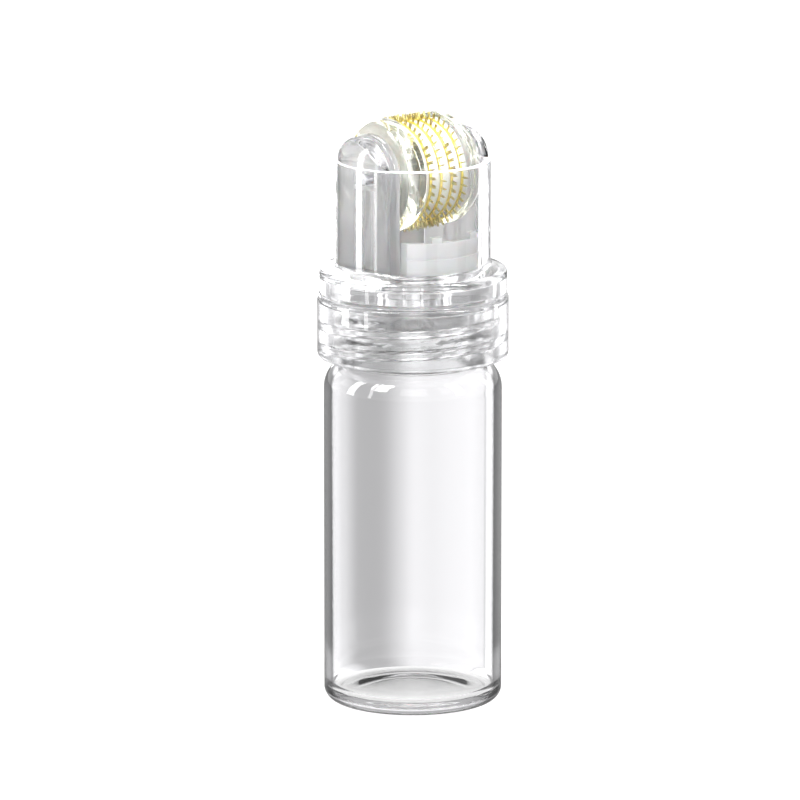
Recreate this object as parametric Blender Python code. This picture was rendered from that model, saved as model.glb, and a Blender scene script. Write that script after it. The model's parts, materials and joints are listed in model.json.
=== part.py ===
"""A serum derma roller: a glass vial, a clear head that screws onto it, and a needle drum that
rolls on a pin between the head's two posts.

Frame: metres, +Z up. The origin is the middle of the vial's base, and the drum's axle runs along X.
Sizes are written in millimetres here, and MM turns them into metres.
"""
import math

import bmesh
import bpy
from mathutils import Matrix, Vector

MM = 0.001

# Driving dimensions, in millimetres

# Vial
VIAL_R = 12.5
VIAL_WALL = 1.1
FLOOR_THICKNESS = 1.7
PUSH_UP = 0.5
FOOT_ROUND = 1.8
SHOULDER_Z = 44.7
SHOULDER_ROUND = 4.5
NECK_R = 10.0
NECK_BORE_R = 8.0
MOUTH_Z = 57.0

# Right-hand thread between the vial and the collar
THREAD_PITCH = 3.0
THREAD_DEPTH = 0.9
THREAD_START_Z = 50.6
THREAD_TURNS = 1.6
THREAD_DROP = 1.1

# Screw collar, with the boss that the housing fits over
COLLAR_R = 13.4
COLLAR_BOTTOM_Z = 49.2
COLLAR_TOP_Z = 58.0
COLLAR_BORE_R = 11.15
WEB_UNDERSIDE_Z = 58.4
BOSS_R = 11.5
BOSS_TOP_Z = 60.3
STEM_HOLE_R = 3.6

# Head housing: flange, cup and the two posts
FLANGE_R = 13.2
FLANGE_TOP_Z = 61.7
CUP_FOOT_Z = 62.8
CUP_R = 10.85
CUP_BORE_R = 9.8
RIM_Z = 77.2
POST_INNER_X = 8.5
POST_STEP = 0.28
POST_HALF_WIDTH = 6.0
POST_TOP_Z = 81.6
DOME_WIDTH = 3.0
DOME_HEIGHT = 3.9

# Drum fork, which holds the axle pin
FORK_R = 9.6
FORK_BASE_TOP_Z = 61.9
LEG_INNER_X = 6.8
LEG_OUTER_X = 8.1
LEG_HALF_WIDTH = 5.8
LEG_TOP_Z = 81.5
POCKET_DEPTH = 0.7

# Flow insert in the bottom of the cup
INSERT_R = 9.5
INSERT_WALL = 0.9
INSERT_HALF_WIDTH = 6.6
INSERT_FLOOR_Z = 62.5
INSERT_TOP_Z = 66.9
TOOTH_TOP_Z = 67.7
TOOTH_WIDTH = 1.3
TOOTH_ANGLE = 19.7

# Drum
AXLE_Z = 75.3
PIN_R = 0.8
PIN_HALF_LENGTH = 8.3
CORE_R = 4.0
SPACER_R = 7.2
DISC_R = 7.4
TIP_R = 8.35
DRUM_FLANGE_R = 8.0
DRUM_FLANGE_ROUND = 1.6
DRUM_FLANGE_INNER_X = 4.0
DRUM_FLANGE_OUTER_X = 6.4
DISC_COUNT = 4
DISC_PITCH = 1.85
DISC_THICKNESS = 0.3
NEEDLES = 44
NEEDLE_BASE = 0.32

# Gaps between pieces that touch, seat or turn
PRESS_GAP = 0.02
SEAT_GAP = 0.1
PIN_GAP = 0.05

# Facets around a full turn
ROUND = 64
DRUM_ROUND = 48
SMALL_ROUND = 32


def clear_scene():
    for obj in list(bpy.data.objects):
        bpy.data.objects.remove(obj, do_unlink=True)


def material(name, colour, roughness, metallic=0.0, transmission=0.0):
    """One plain Principled material for each kind of stuff the roller is made of."""
    made = bpy.data.materials.new(name)
    made.use_nodes = True
    shader = made.node_tree.nodes["Principled BSDF"]
    shader.inputs["Base Color"].default_value = (*colour, 1.0)
    shader.inputs["Roughness"].default_value = roughness
    shader.inputs["Metallic"].default_value = metallic
    shader.inputs["Transmission Weight"].default_value = transmission
    return made


def object_from(name, bm, stuff):
    """Turns a bmesh in millimetres into a named, smooth-shaded object in metres."""
    bmesh.ops.scale(bm, vec=(MM, MM, MM), verts=bm.verts)
    bmesh.ops.recalc_face_normals(bm, faces=bm.faces)
    mesh = bpy.data.meshes.new(name)
    bm.to_mesh(mesh)
    bm.free()
    mesh.shade_smooth()
    mesh.set_sharp_from_angle(angle=math.radians(35))
    mesh.materials.append(stuff)
    obj = bpy.data.objects.new(name, mesh)
    bpy.context.scene.collection.objects.link(obj)
    return obj


def arc(centre_r, centre_z, radius, start_deg, end_deg, steps, height=None):
    """Points of a round stretch of a profile, both ends included. A height makes it elliptical."""
    turns = [math.radians(start_deg + (end_deg - start_deg) * i / steps) for i in range(steps + 1)]
    rise = radius if height is None else height
    return [(centre_r + radius * math.cos(a), centre_z + rise * math.sin(a)) for a in turns]


def turned_mesh(profile, segments):
    """Spins a closed profile of (radius, height) about Z. Points on the axis are allowed."""
    bm = bmesh.new()
    verts = [bm.verts.new((r, 0.0, z)) for r, z in profile]
    edges = [bm.edges.new(pair) for pair in zip(verts, verts[1:] + verts[:1])]
    bmesh.ops.spin(
        bm, geom=verts + edges, cent=(0, 0, 0), axis=(0, 0, 1), angle=math.tau, steps=segments,
        use_merge=True,
    )
    bmesh.ops.remove_doubles(bm, verts=bm.verts, dist=1e-5)
    on_axis = [edge for edge in bm.edges if not edge.link_faces]
    bmesh.ops.delete(bm, geom=on_axis, context="EDGES")
    return bm


def turned(name, profile, stuff, segments=ROUND):
    return object_from(name, turned_mesh(profile, segments), stuff)


def turned_on_axle(name, profile, stuff, segments=DRUM_ROUND):
    """A piece of the drum or its pin: the profile's height runs along +X, from the axle's middle."""
    bm = turned_mesh(profile, segments)
    bmesh.ops.rotate(bm, verts=bm.verts, cent=(0, 0, 0), matrix=Matrix.Rotation(math.pi / 2, 3, "Y"))
    return object_from(name, bm, stuff)


def prism_along_x(name, outline, half_length, stuff):
    """An outline of (y, z) points, made solid over half_length to both sides of x = 0."""
    bm = bmesh.new()
    face = bm.faces.new([bm.verts.new((-half_length, y, z)) for y, z in outline])
    grown = bmesh.ops.extrude_face_region(bm, geom=[face])
    moved = [item for item in grown["geom"] if isinstance(item, bmesh.types.BMVert)]
    bmesh.ops.translate(bm, verts=moved, vec=(2 * half_length, 0, 0))
    return object_from(name, bm, stuff)


def tombstone(half_width, bottom_z, top_z, steps):
    """(y, z) points of a slab with a full-round top."""
    return [(-half_width, bottom_z), (half_width, bottom_z)] + arc(
        0.0, top_z - half_width, half_width, 0, 180, steps
    )


def block(name, low, high, stuff):
    """A box between two corners, in millimetres."""
    bm = bmesh.new()
    bmesh.ops.create_cube(bm, size=1.0)
    low, high = Vector(low), Vector(high)
    bmesh.ops.scale(bm, vec=high - low, verts=bm.verts)
    bmesh.ops.translate(bm, vec=(low + high) / 2, verts=bm.verts)
    return object_from(name, bm, stuff)


def combine(obj, operation, other):
    """Adds a Boolean to obj, and hides the shape that it works with."""
    other.hide_render = True
    other.display_type = "WIRE"
    change = obj.modifiers.new(operation.lower() + "_" + other.name, "BOOLEAN")
    change.operation = operation
    change.solver = "EXACT"
    change.object = other
    return obj


def thread_ridge(name, root_r, tip_r, start_z, stuff):
    """A right-hand helical ridge from root_r to tip_r, with its root sunk in and its ends tapered."""
    root_width, tip_width, sunk, fade_steps = 1.2, 0.6, 0.25, 4
    base_r = root_r - math.copysign(sunk, tip_r - root_r)
    sections = round(THREAD_TURNS * SMALL_ROUND)
    bm = bmesh.new()
    rings = []
    for i in range(sections + 1):
        angle = math.tau * i / SMALL_ROUND
        height = start_z + THREAD_PITCH * i / SMALL_ROUND
        fade = min(1.0, i / fade_steps, (sections - i) / fade_steps)
        crest = root_r + (tip_r - root_r) * (0.15 + 0.85 * fade)
        corners = (
            (base_r, -root_width / 2), (crest, -tip_width / 2),
            (crest, tip_width / 2), (base_r, root_width / 2),
        )
        rings.append([
            bm.verts.new((r * math.cos(angle), r * math.sin(angle), height + rise)) for r, rise in corners
        ])
    for one, two in zip(rings, rings[1:]):
        for k in range(4):
            bm.faces.new((one[k], one[(k + 1) % 4], two[(k + 1) % 4], two[k]))
    bm.faces.new(rings[0])
    bm.faces.new(rings[-1])
    return object_from(name, bm, stuff)


def make_vial(glass):
    """Glass bottle: rounded foot with a shallow push-up, straight wall, shoulder and threaded neck."""
    inner_r = VIAL_R - VIAL_WALL
    inner_foot = 1.6
    lip_round = 0.5
    dish_r, dish_rise = 4.5, 0.75 * PUSH_UP
    shoulder_r = VIAL_R - SHOULDER_ROUND
    shoulder_end = math.degrees(math.acos((NECK_R - shoulder_r) / SHOULDER_ROUND))
    outside = [(0.0, PUSH_UP), (dish_r, dish_rise), (8.2, 0.0)]
    outside += arc(VIAL_R - FOOT_ROUND, FOOT_ROUND, FOOT_ROUND, -90, 0, 5)
    outside += arc(shoulder_r, SHOULDER_Z, SHOULDER_ROUND, 0, shoulder_end, 6)
    outside += arc(NECK_R - lip_round, MOUTH_Z - lip_round, lip_round, 0, 90, 3)
    inside = arc(NECK_BORE_R + lip_round, MOUTH_Z - lip_round, lip_round, 90, 180, 3)
    inside += arc(NECK_BORE_R, SHOULDER_Z, inner_r - NECK_BORE_R, 90, 0, 6)
    inside += arc(inner_r - inner_foot, FLOOR_THICKNESS + inner_foot, inner_foot, 0, -90, 4)
    inside += [(dish_r, FLOOR_THICKNESS + dish_rise), (0.0, FLOOR_THICKNESS + PUSH_UP)]
    vial = turned("glass_vial", outside + inside, glass)
    ridge = thread_ridge("vial_thread", NECK_R, NECK_R + THREAD_DEPTH, THREAD_START_Z, glass)
    return combine(vial, "UNION", ridge)


def make_gasket(silicone):
    """Flat washer that the collar squeezes on the vial's mouth."""
    low, high = MOUTH_Z + SEAT_GAP, WEB_UNDERSIDE_Z - SEAT_GAP
    profile = [(NECK_BORE_R, low), (NECK_R, low), (NECK_R, high), (NECK_BORE_R, high)]
    return turned("neck_gasket", profile, silicone, SMALL_ROUND)


def make_collar(clear):
    """Clear ring with the inner thread, a web over the gasket, and a boss that takes the housing."""
    foot_round, top_round, chamfer = 0.7, 0.3, 0.3
    land_r, land_z = 10.4, MOUTH_Z - 0.2
    profile = [(COLLAR_BORE_R + chamfer, COLLAR_BOTTOM_Z)]
    profile += arc(COLLAR_R - foot_round, COLLAR_BOTTOM_Z + foot_round, foot_round, -90, 0, 4)
    profile += arc(COLLAR_R - top_round, COLLAR_TOP_Z - top_round, top_round, 0, 90, 3)
    profile += [
        (BOSS_R, COLLAR_TOP_Z), (BOSS_R, BOSS_TOP_Z), (STEM_HOLE_R, BOSS_TOP_Z),
        (STEM_HOLE_R, WEB_UNDERSIDE_Z), (land_r, WEB_UNDERSIDE_Z), (land_r, land_z),
        (COLLAR_BORE_R, land_z), (COLLAR_BORE_R, COLLAR_BOTTOM_Z + chamfer),
    ]
    collar = turned("screw_collar", profile, clear)
    quarter_turn = math.pi / 2
    start_z = THREAD_START_Z - THREAD_DROP + THREAD_PITCH / 4
    ridge = thread_ridge("collar_thread", COLLAR_BORE_R, NECK_R + 0.3, start_z, clear)
    ridge.rotation_euler.z = quarter_turn
    return combine(collar, "UNION", ridge)


def make_dosing_plug(frosted):
    """Turned plug in the neck, with a bore that feeds serum up through the head's floor."""
    plug_r, bore_r, mouth_r, foot_z = NECK_BORE_R - 0.2, 1.0, 2.4, 54.0
    shoulder_z = WEB_UNDERSIDE_Z - 2 * SEAT_GAP
    stem_r, top_z = STEM_HOLE_R - 0.2, FORK_BASE_TOP_Z
    profile = [
        (bore_r, top_z), (bore_r, foot_z + 1.6), (mouth_r, foot_z), (plug_r - 0.6, foot_z),
        (plug_r, foot_z + 0.6), (plug_r, shoulder_z), (stem_r, shoulder_z), (stem_r, top_z),
    ]
    return turned("dosing_plug", profile, frosted, SMALL_ROUND)


def make_housing(clear):
    """Clear moulding: flange over the collar's boss, round cup, and two posts with domed tops."""
    flange_low = COLLAR_TOP_Z + SEAT_GAP
    floor_z = BOSS_TOP_Z + SEAT_GAP
    skirt_r = BOSS_R + 0.2
    edge_round, rim_round, foot_fillet = 0.8, 0.3, 0.6
    outside = [(0.0, floor_z), (skirt_r, floor_z), (skirt_r, flange_low)]
    outside += [(FLANGE_R - 0.3, flange_low), (FLANGE_R, flange_low + 0.3)]
    outside += arc(FLANGE_R - edge_round, FLANGE_TOP_Z - edge_round, edge_round, 0, 80, 4)
    outside += arc(CUP_R + foot_fillet, CUP_FOOT_Z, foot_fillet, 250, 180, 4)
    outside += arc(CUP_R - rim_round, RIM_Z - rim_round, rim_round, 0, 90, 3)
    outside += [(0.0, RIM_Z)]
    housing = turned("head_housing", outside, clear)
    combine(housing, "UNION", make_posts(clear))
    top = POST_TOP_Z + 1
    well = turned("well_cut", [(0, 60), (CUP_BORE_R, 60), (CUP_BORE_R, top), (0, top)], clear)
    middle = block("well_width", (-POST_INNER_X, -20, 59), (POST_INNER_X, 20, top + 1), clear)
    combine(well, "INTERSECT", middle)
    return combine(housing, "DIFFERENCE", well)


def make_posts(clear):
    """The stretch of the posts above the rim: an arch seen along X, with a domed outer edge."""
    low = RIM_Z - 4
    posts = prism_along_x("post_arch", tombstone(POST_HALF_WIDTH, low, POST_TOP_Z, 20), CUP_R + 2, clear)
    dome_r = CUP_R - POST_STEP
    dome = [(0.0, low - 1), (dome_r, low - 1)]
    dome += arc(dome_r - DOME_WIDTH, POST_TOP_Z - DOME_HEIGHT, DOME_WIDTH, 0, 90, 8, DOME_HEIGHT)
    dome += [(0.0, POST_TOP_Z + 0.05)]
    return combine(posts, "INTERSECT", turned("post_dome", dome, clear))


def make_fork(clear):
    """Base plate with two tombstone legs, which hold the pin and have pockets in their outer faces."""
    low = BOSS_TOP_Z + SEAT_GAP
    fork = turned("drum_fork", [
        (STEM_HOLE_R, low), (FORK_R, low), (FORK_R, FORK_BASE_TOP_Z), (STEM_HOLE_R, FORK_BASE_TOP_Z),
    ], clear)
    edge = LEG_OUTER_X + 0.05
    combine(fork, "INTERSECT", block("base_width", (-edge, -20, low - 1), (edge, 20, LEG_TOP_Z), clear))
    legs = prism_along_x("fork_legs", tombstone(LEG_HALF_WIDTH, low + 0.2, LEG_TOP_Z, 20), LEG_OUTER_X, clear)
    leg_r = FORK_R - 0.05
    combine(legs, "INTERSECT", turned("leg_round", [
        (0, low - 1), (leg_r, low - 1), (leg_r, LEG_TOP_Z + 1), (0, LEG_TOP_Z + 1),
    ], clear))
    combine(legs, "DIFFERENCE", block(
        "leg_space", (-LEG_INNER_X, -20, low - 2), (LEG_INNER_X, 20, LEG_TOP_Z + 2), clear,
    ))
    combine(fork, "UNION", legs)
    bore_r = PIN_R + PIN_GAP
    bore = turned_on_axle("pin_bore", [(0, -20), (bore_r, -20), (bore_r, 20), (0, 20)], clear, SMALL_ROUND)
    bore.location.z = AXLE_Z * MM
    combine(fork, "DIFFERENCE", bore)
    cut_pockets(fork, clear)
    return fork


def cut_pockets(fork, clear):
    """Two columns of shallow pockets in each leg: a square by the pin and a long slot below it."""
    near_y, far_y = 0.35, 1.75
    rib_z = AXLE_Z - 1.6
    spans = ((FORK_BASE_TOP_Z + 0.6, rib_z), (rib_z + 0.6, AXLE_Z + 1.0))
    deep, out = LEG_OUTER_X - POCKET_DEPTH, LEG_OUTER_X + 2
    count = 0
    for x_low, x_high in ((-out, -deep), (deep, out)):
        for y_low, y_high in ((-far_y, -near_y), (near_y, far_y)):
            for z_low, z_high in spans:
                count += 1
                combine(fork, "DIFFERENCE", block(
                    f"pocket_{count}", (x_low, y_low, z_low), (x_high, y_high, z_high), clear,
                ))


def make_flow_insert(frosted):
    """Insert in the bottom of the cup: a floor with a feed hole, and two curved walls with teeth."""
    floor_low = FORK_BASE_TOP_Z + SEAT_GAP
    feed_r = 1.2
    inner_r = INSERT_R - INSERT_WALL
    groove_z, groove = 64.7, 0.15
    insert = turned("flow_insert", [
        (feed_r, floor_low), (INSERT_R, floor_low), (INSERT_R, groove_z - groove),
        (INSERT_R - groove, groove_z - groove), (INSERT_R - groove, groove_z + groove),
        (INSERT_R, groove_z + groove), (INSERT_R, INSERT_TOP_Z), (inner_r, INSERT_TOP_Z),
        (inner_r, INSERT_FLOOR_Z), (feed_r, INSERT_FLOOR_Z),
    ], frosted)
    reach = INSERT_HALF_WIDTH
    combine(insert, "INTERSECT", block("insert_width", (-reach, -20, 50), (reach, 20, 90), frosted))
    half = TOOTH_WIDTH / 2
    middle_x = (INSERT_R - INSERT_WALL / 2) * math.sin(math.radians(TOOTH_ANGLE))
    for n, x in enumerate((-middle_x, middle_x)):
        low = INSERT_TOP_Z - 0.4
        ring = turned(f"tooth_ring_{n + 1}", [
            (inner_r + 0.05, low), (INSERT_R - 0.05, low), (INSERT_R - 0.05, TOOTH_TOP_Z),
            (inner_r + 0.05, TOOTH_TOP_Z),
        ], frosted)
        span = block(f"tooth_width_{n + 1}", (x - half, -20, low - 1), (x + half, 20, low + 9), frosted)
        combine(insert, "UNION", combine(ring, "INTERSECT", span))
    return insert


def make_pin(steel):
    chamfer = 0.15
    profile = [(0.0, -PIN_HALF_LENGTH), (PIN_R - chamfer, -PIN_HALF_LENGTH)]
    profile += [(PIN_R, chamfer - PIN_HALF_LENGTH), (PIN_R, PIN_HALF_LENGTH - chamfer)]
    profile += [(PIN_R - chamfer, PIN_HALF_LENGTH), (0.0, PIN_HALF_LENGTH)]
    return turned_on_axle("axle_pin", profile, steel, SMALL_ROUND)


def make_core(clear, bore_r, core_end):
    profile = [(bore_r, -core_end), (CORE_R, -core_end), (CORE_R, core_end), (bore_r, core_end)]
    return turned_on_axle("drum_core", profile, clear, SMALL_ROUND)


def make_drum_flange(name, side, tinted, bore_r, core_end):
    """Thick rounded disc that closes one end of the drum, with a low boss around the pin."""
    boss_x = LEG_INNER_X - SEAT_GAP
    profile = [(CORE_R + PRESS_GAP, DRUM_FLANGE_INNER_X), (DRUM_FLANGE_R, DRUM_FLANGE_INNER_X)]
    profile += arc(
        DRUM_FLANGE_R - DRUM_FLANGE_ROUND, DRUM_FLANGE_OUTER_X - DRUM_FLANGE_ROUND,
        DRUM_FLANGE_ROUND, 0, 90, 6,
    )
    profile += [
        (2.6, DRUM_FLANGE_OUTER_X), (2.2, boss_x), (bore_r, boss_x), (bore_r, core_end + PRESS_GAP),
        (CORE_R + PRESS_GAP, core_end + PRESS_GAP),
    ]
    flange = turned_on_axle(name, profile, tinted)
    flange.rotation_euler.z = 0.0 if side > 0 else math.pi
    return flange


def make_needle_disc(gold):
    """A thin ring with a row of flat pointed needles, in the middle of the drum."""
    half_base = NEEDLE_BASE / 2 / DISC_R
    bore_r = CORE_R + PRESS_GAP
    bm = bmesh.new()
    bore, rim = [], []
    for i in range(NEEDLES):
        middle = math.tau * i / NEEDLES
        bore.append(bm.verts.new((0.0, bore_r * math.cos(middle), bore_r * math.sin(middle))))
        for angle, r in ((middle - half_base, DISC_R), (middle, TIP_R), (middle + half_base, DISC_R)):
            rim.append(bm.verts.new((0.0, r * math.cos(angle), r * math.sin(angle))))
    for i in range(NEEDLES):
        foot, tip, end = rim[3 * i:3 * i + 3]
        next_foot = rim[(3 * i + 3) % len(rim)]
        next_bore = bore[(i + 1) % NEEDLES]
        bm.faces.new((bore[i], foot, tip))
        bm.faces.new((bore[i], tip, end))
        bm.faces.new((bore[i], end, next_foot, next_bore))
    bmesh.ops.translate(bm, verts=bm.verts, vec=(-DISC_THICKNESS / 2, 0, 0))
    grown = bmesh.ops.extrude_face_region(bm, geom=list(bm.faces))
    moved = [item for item in grown["geom"] if isinstance(item, bmesh.types.BMVert)]
    bmesh.ops.translate(bm, verts=moved, vec=(DISC_THICKNESS, 0, 0))
    return object_from("needle_disc_1", bm, gold)


def make_needle_discs(gold, places):
    """One disc at each place, with every other one turned by half a needle's spacing. They share one
    mesh, because they are the same part."""
    discs = [make_needle_disc(gold)]
    for n in range(2, len(places) + 1):
        discs.append(bpy.data.objects.new(f"needle_disc_{n}", discs[0].data))
        bpy.context.scene.collection.objects.link(discs[-1])
    half_step = math.pi / NEEDLES
    for n, (disc, x) in enumerate(zip(discs, places)):
        disc.location.x = x * MM
        disc.rotation_euler.x = half_step if n % 2 else 0.0
    return discs


def make_spacers(tinted, places):
    """Rings that fill the drum between the flanges and the discs."""
    half_disc = DISC_THICKNESS / 2 + PRESS_GAP
    starts = [PRESS_GAP - DRUM_FLANGE_INNER_X] + [x + half_disc for x in places]
    ends = [x - half_disc for x in places] + [DRUM_FLANGE_INNER_X - PRESS_GAP]
    bore_r = CORE_R + PRESS_GAP
    spacers = []
    for n, (low, high) in enumerate(zip(starts, ends), 1):
        profile = [(bore_r, low), (SPACER_R, low), (SPACER_R, high), (bore_r, high)]
        spacers.append(turned_on_axle(f"spacer_ring_{n}", profile, tinted))
    return spacers


def make_drum(tinted, gold):
    """Everything that turns on the pin, parented to an empty on the axle."""
    bore_r = PIN_R + 2 * PIN_GAP
    core_end = DRUM_FLANGE_OUTER_X - 0.8
    places = [DISC_PITCH * (i - (DISC_COUNT - 1) / 2) for i in range(DISC_COUNT)]
    pieces = [make_core(tinted, bore_r, core_end)]
    pieces.append(make_drum_flange("left_flange", -1, tinted, bore_r, core_end))
    pieces.append(make_drum_flange("right_flange", 1, tinted, bore_r, core_end))
    pieces += make_needle_discs(gold, places)
    pieces += make_spacers(tinted, places)
    drum = bpy.data.objects.new("drum", None)
    drum.location.z = AXLE_Z * MM
    bpy.context.scene.collection.objects.link(drum)
    for piece in pieces:
        piece.parent = drum


def main():
    clear_scene()
    glass = material("glass", (0.95, 0.97, 0.97), 0.02, transmission=1.0)
    clear = material("clear_plastic", (0.97, 0.97, 0.97), 0.04, transmission=1.0)
    tinted = material("tinted_plastic", (0.90, 0.93, 0.80), 0.06, transmission=0.9)
    frosted = material("frosted_plastic", (0.88, 0.88, 0.88), 0.35, transmission=0.4)
    silicone = material("silicone", (0.85, 0.85, 0.86), 0.5)
    gold = material("gold_plate", (0.83, 0.62, 0.18), 0.25, metallic=1.0)
    steel = material("steel", (0.72, 0.72, 0.73), 0.22, metallic=1.0)

    make_vial(glass)
    make_gasket(silicone)
    make_collar(clear)
    make_dosing_plug(frosted)
    make_housing(clear)
    make_fork(clear)
    make_flow_insert(frosted)
    make_pin(steel).location.z = AXLE_Z * MM
    make_drum(tinted, gold)


main()
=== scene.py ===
"""The derma roller as it looks: clear glass and plastic around a drum of gold needle discs.

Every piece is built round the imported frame: outer sizes are read from the CAD nodes' boxes, and the
sizes inside them are named below, in millimetres.
"""
import json
import math

import bmesh
import bpy
from mathutils import Matrix, Vector


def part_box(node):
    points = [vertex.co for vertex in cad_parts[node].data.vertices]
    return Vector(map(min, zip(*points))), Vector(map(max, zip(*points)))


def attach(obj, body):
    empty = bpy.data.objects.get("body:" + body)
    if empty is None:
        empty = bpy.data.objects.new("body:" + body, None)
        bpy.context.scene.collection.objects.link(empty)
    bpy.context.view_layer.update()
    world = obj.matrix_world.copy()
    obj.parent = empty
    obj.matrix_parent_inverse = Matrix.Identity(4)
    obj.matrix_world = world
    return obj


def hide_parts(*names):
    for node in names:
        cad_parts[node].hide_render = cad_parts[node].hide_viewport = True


MM = 0.001

# Camera, in degrees and metres
VIEW_AZIMUTH = -39.0
VIEW_ELEVATION = 12.0
VIEW_DISTANCE = 1.1
LENS = 353.0
AIM_HEIGHT = 0.0428
AIM_LEFT = 0.0018

# Floor, in millimetres, with its brightness in a reflection off the outside of a clear piece, and inside one
FLOOR_R = 6000
FLOOR_DROP = 0.2
FLOOR_OUTER = 0.15
FLOOR_INNER = 0.8

# Light tent: a ring seen only through the clear pieces, in millimetres and degrees
TENT_R = 19.0
TENT_SKIRT_R = 12.9
TENT_SECTOR = 120.0
TENT_BAND_AZIMUTH = 51.0
TENT_SEGMENTS = 720
TENT_OUTER = 0.2
# Its brightness round a sector: white, brighter to one side and at both ends, with a grey band and a thin
# grey line.
TENT_WHITE = 1.04
TENT_RISE_FROM = -10.0
TENT_RISE = 0.006
TENT_END_FROM = 41.0
TENT_END_RISE = 0.055
BAND_START = 17.0
BAND_END = 27.0
BAND_FADE_IN = 20.0
BAND_FADE_OUT = 15.0
BAND_LEVEL = 0.52
LINE_PLACE = -43.0
LINE_HALF = 2.0
LINE_LEVEL = 0.72
# Radius, height, brightness straight through, and what rays that bounced inside the object see: plain, and in
# dark bands. The first row draws the ring's skirt in over the floor, to the foot of the vial.
TENT_ROWS = (
    (TENT_SKIRT_R, 0.1, 1.0, 0.5, 0.5), (TENT_R, 0.1, 1.0, 0.5, 0.5), (TENT_R, 3.5, 1.0, 0.5, 0.5),
    (TENT_R, 5.0, 1.0, 0.22, 0.22), (TENT_R, 48.0, 1.0, 0.22, 0.22), (TENT_R, 49.5, 1.1, 1.3, 0.4),
    (TENT_R, 58.0, 1.1, 1.3, 0.4), (TENT_R, 59.5, 0.9, 1.6, 0.6), (TENT_R, 72.0, 0.95, 1.6, 0.6),
    (TENT_R, 74.0, 1.5, 1.6, 0.8), (TENT_R, 95.0, 1.6, 1.6, 0.8),
)
TENT_DARK_BANDS = (-38.0, 3.0, 40.0)
TENT_DARK_HALF = 7.0

# Strip cards that show only as reflections: turned from the view, their width, and their glow
STRIP_R = 60.0
STRIP_LOW_Z = 47.0
STRIP_TOP_Z = 115.0
STRIPS = ((-80.0, 12.0, 12.0), (-52.0, 5.0, 8.0), (108.0, 8.0, 7.0), (200.0, 12.0, 9.0))

# Inner sizes that the CAD boxes don't give, in millimetres
VIAL_WALL = 1.1
VIAL_FLOOR = 1.7
VIAL_PUSH_UP = 0.5
VIAL_FOOT_ROUND = 1.8
SHOULDER_Z = 44.7
SHOULDER_ROUND = 4.5
NECK_R = 10.0
NECK_BORE_R = 8.0
THREAD_PITCH = 3.0
THREAD_TIP_WIDTH = 0.5
VIAL_THREAD_WIDTH = 1.3
VIAL_THREAD_DEPTH = 0.9
COLLAR_THREAD_WIDTH = 1.2
COLLAR_THREAD_DEPTH = 0.85
THREAD_START_Z = 50.6
THREAD_TURNS = 1.6
THREAD_FADE = 0.08
THREAD_DROP = 1.1
COLLAR_BORE_R = 11.15
COLLAR_TOP_Z = 58.0
WEB_UNDERSIDE_Z = 58.4
BOSS_R = 11.5
STEM_HOLE_R = 3.6
FLANGE_TOP_Z = 61.7
CUP_R = 10.85
CUP_BORE_R = 9.8
RIM_Z = 77.2
POST_INNER_X = 8.5
POST_STEP = 0.28
POST_HALF_WIDTH = 6.0
DOME_WIDTH = 3.0
DOME_HEIGHT = 3.9
FORK_BASE_TOP_Z = 61.9
LEG_INNER_X = 6.8
LEG_HALF_WIDTH = 5.8
POCKET_DEPTH = 0.7
POCKET_SIDES = ((-1.75, -0.35), (0.35, 1.75))
POCKET_RIB = 0.6
INSERT_WALL = 0.9
INSERT_FLOOR_Z = 62.5
INSERT_TOP_Z = 66.9
TOOTH_WIDTH = 1.3
TOOTH_ANGLE = 19.7
CORE_R = 4.0
DISC_R = 7.4
NEEDLES = 44
DRUM_FLANGE_ROUND = 1.6
NEEDLE_FACETS = 5
NEEDLE_INSET = 0.05
NEEDLE_SHAFT = 0.65
NEEDLE_TAPER = 0.15
PIN_GAP = 0.05

GLASS_IOR = 1.5
PLASTIC_IOR = 1.49

ROUND = 256
DRUM_ROUND = 192


# ---------------------------------------------------------------- mesh tools

def arc(centre_r, centre_z, radius, start_deg, end_deg, steps, height=None):
    """Points of a round stretch of a profile, both ends included. A height makes it elliptical."""
    turns = [math.radians(start_deg + (end_deg - start_deg) * i / steps) for i in range(steps + 1)]
    rise = radius if height is None else height
    return [(centre_r + radius * math.cos(a), centre_z + rise * math.sin(a)) for a in turns]


def straight(start, end, steps):
    """Evenly spaced points from start to end, both included."""
    return [
        tuple(a + (b - a) * i / steps for a, b in zip(start, end)) for i in range(steps + 1)
    ]


def rounded(corners, steps=5):
    """A closed (radius, height) profile whose corners (r, z, fillet) are rounded."""
    points = []
    count = len(corners)
    for i, (r, z, fillet) in enumerate(corners):
        here = Vector((r, z))
        if fillet <= 0:
            points.append((r, z))
            continue
        before = (Vector(corners[i - 1][:2]) - here).normalized()
        after = (Vector(corners[(i + 1) % count][:2]) - here).normalized()
        half = before.angle(after) / 2
        reach = fillet / math.tan(half)
        start, end = here + before * reach, here + after * reach
        centre = here + (before + after).normalized() * (fillet / math.sin(half))
        for k in range(steps + 1):
            spoke = (start - centre).lerp(end - centre, k / steps).normalized()
            points.append(tuple(centre + spoke * fillet))
    return points


def object_of(name, bm, smooth=40):
    """Turns a bmesh in millimetres into a smooth-shaded object in metres."""
    bmesh.ops.scale(bm, vec=(MM, MM, MM), verts=bm.verts)
    bmesh.ops.recalc_face_normals(bm, faces=bm.faces)
    mesh = bpy.data.meshes.new(name)
    bm.to_mesh(mesh)
    bm.free()
    mesh.shade_smooth()
    if smooth:
        mesh.set_sharp_from_angle(angle=math.radians(smooth))
    obj = bpy.data.objects.new(name, mesh)
    bpy.context.scene.collection.objects.link(obj)
    return obj


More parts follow.
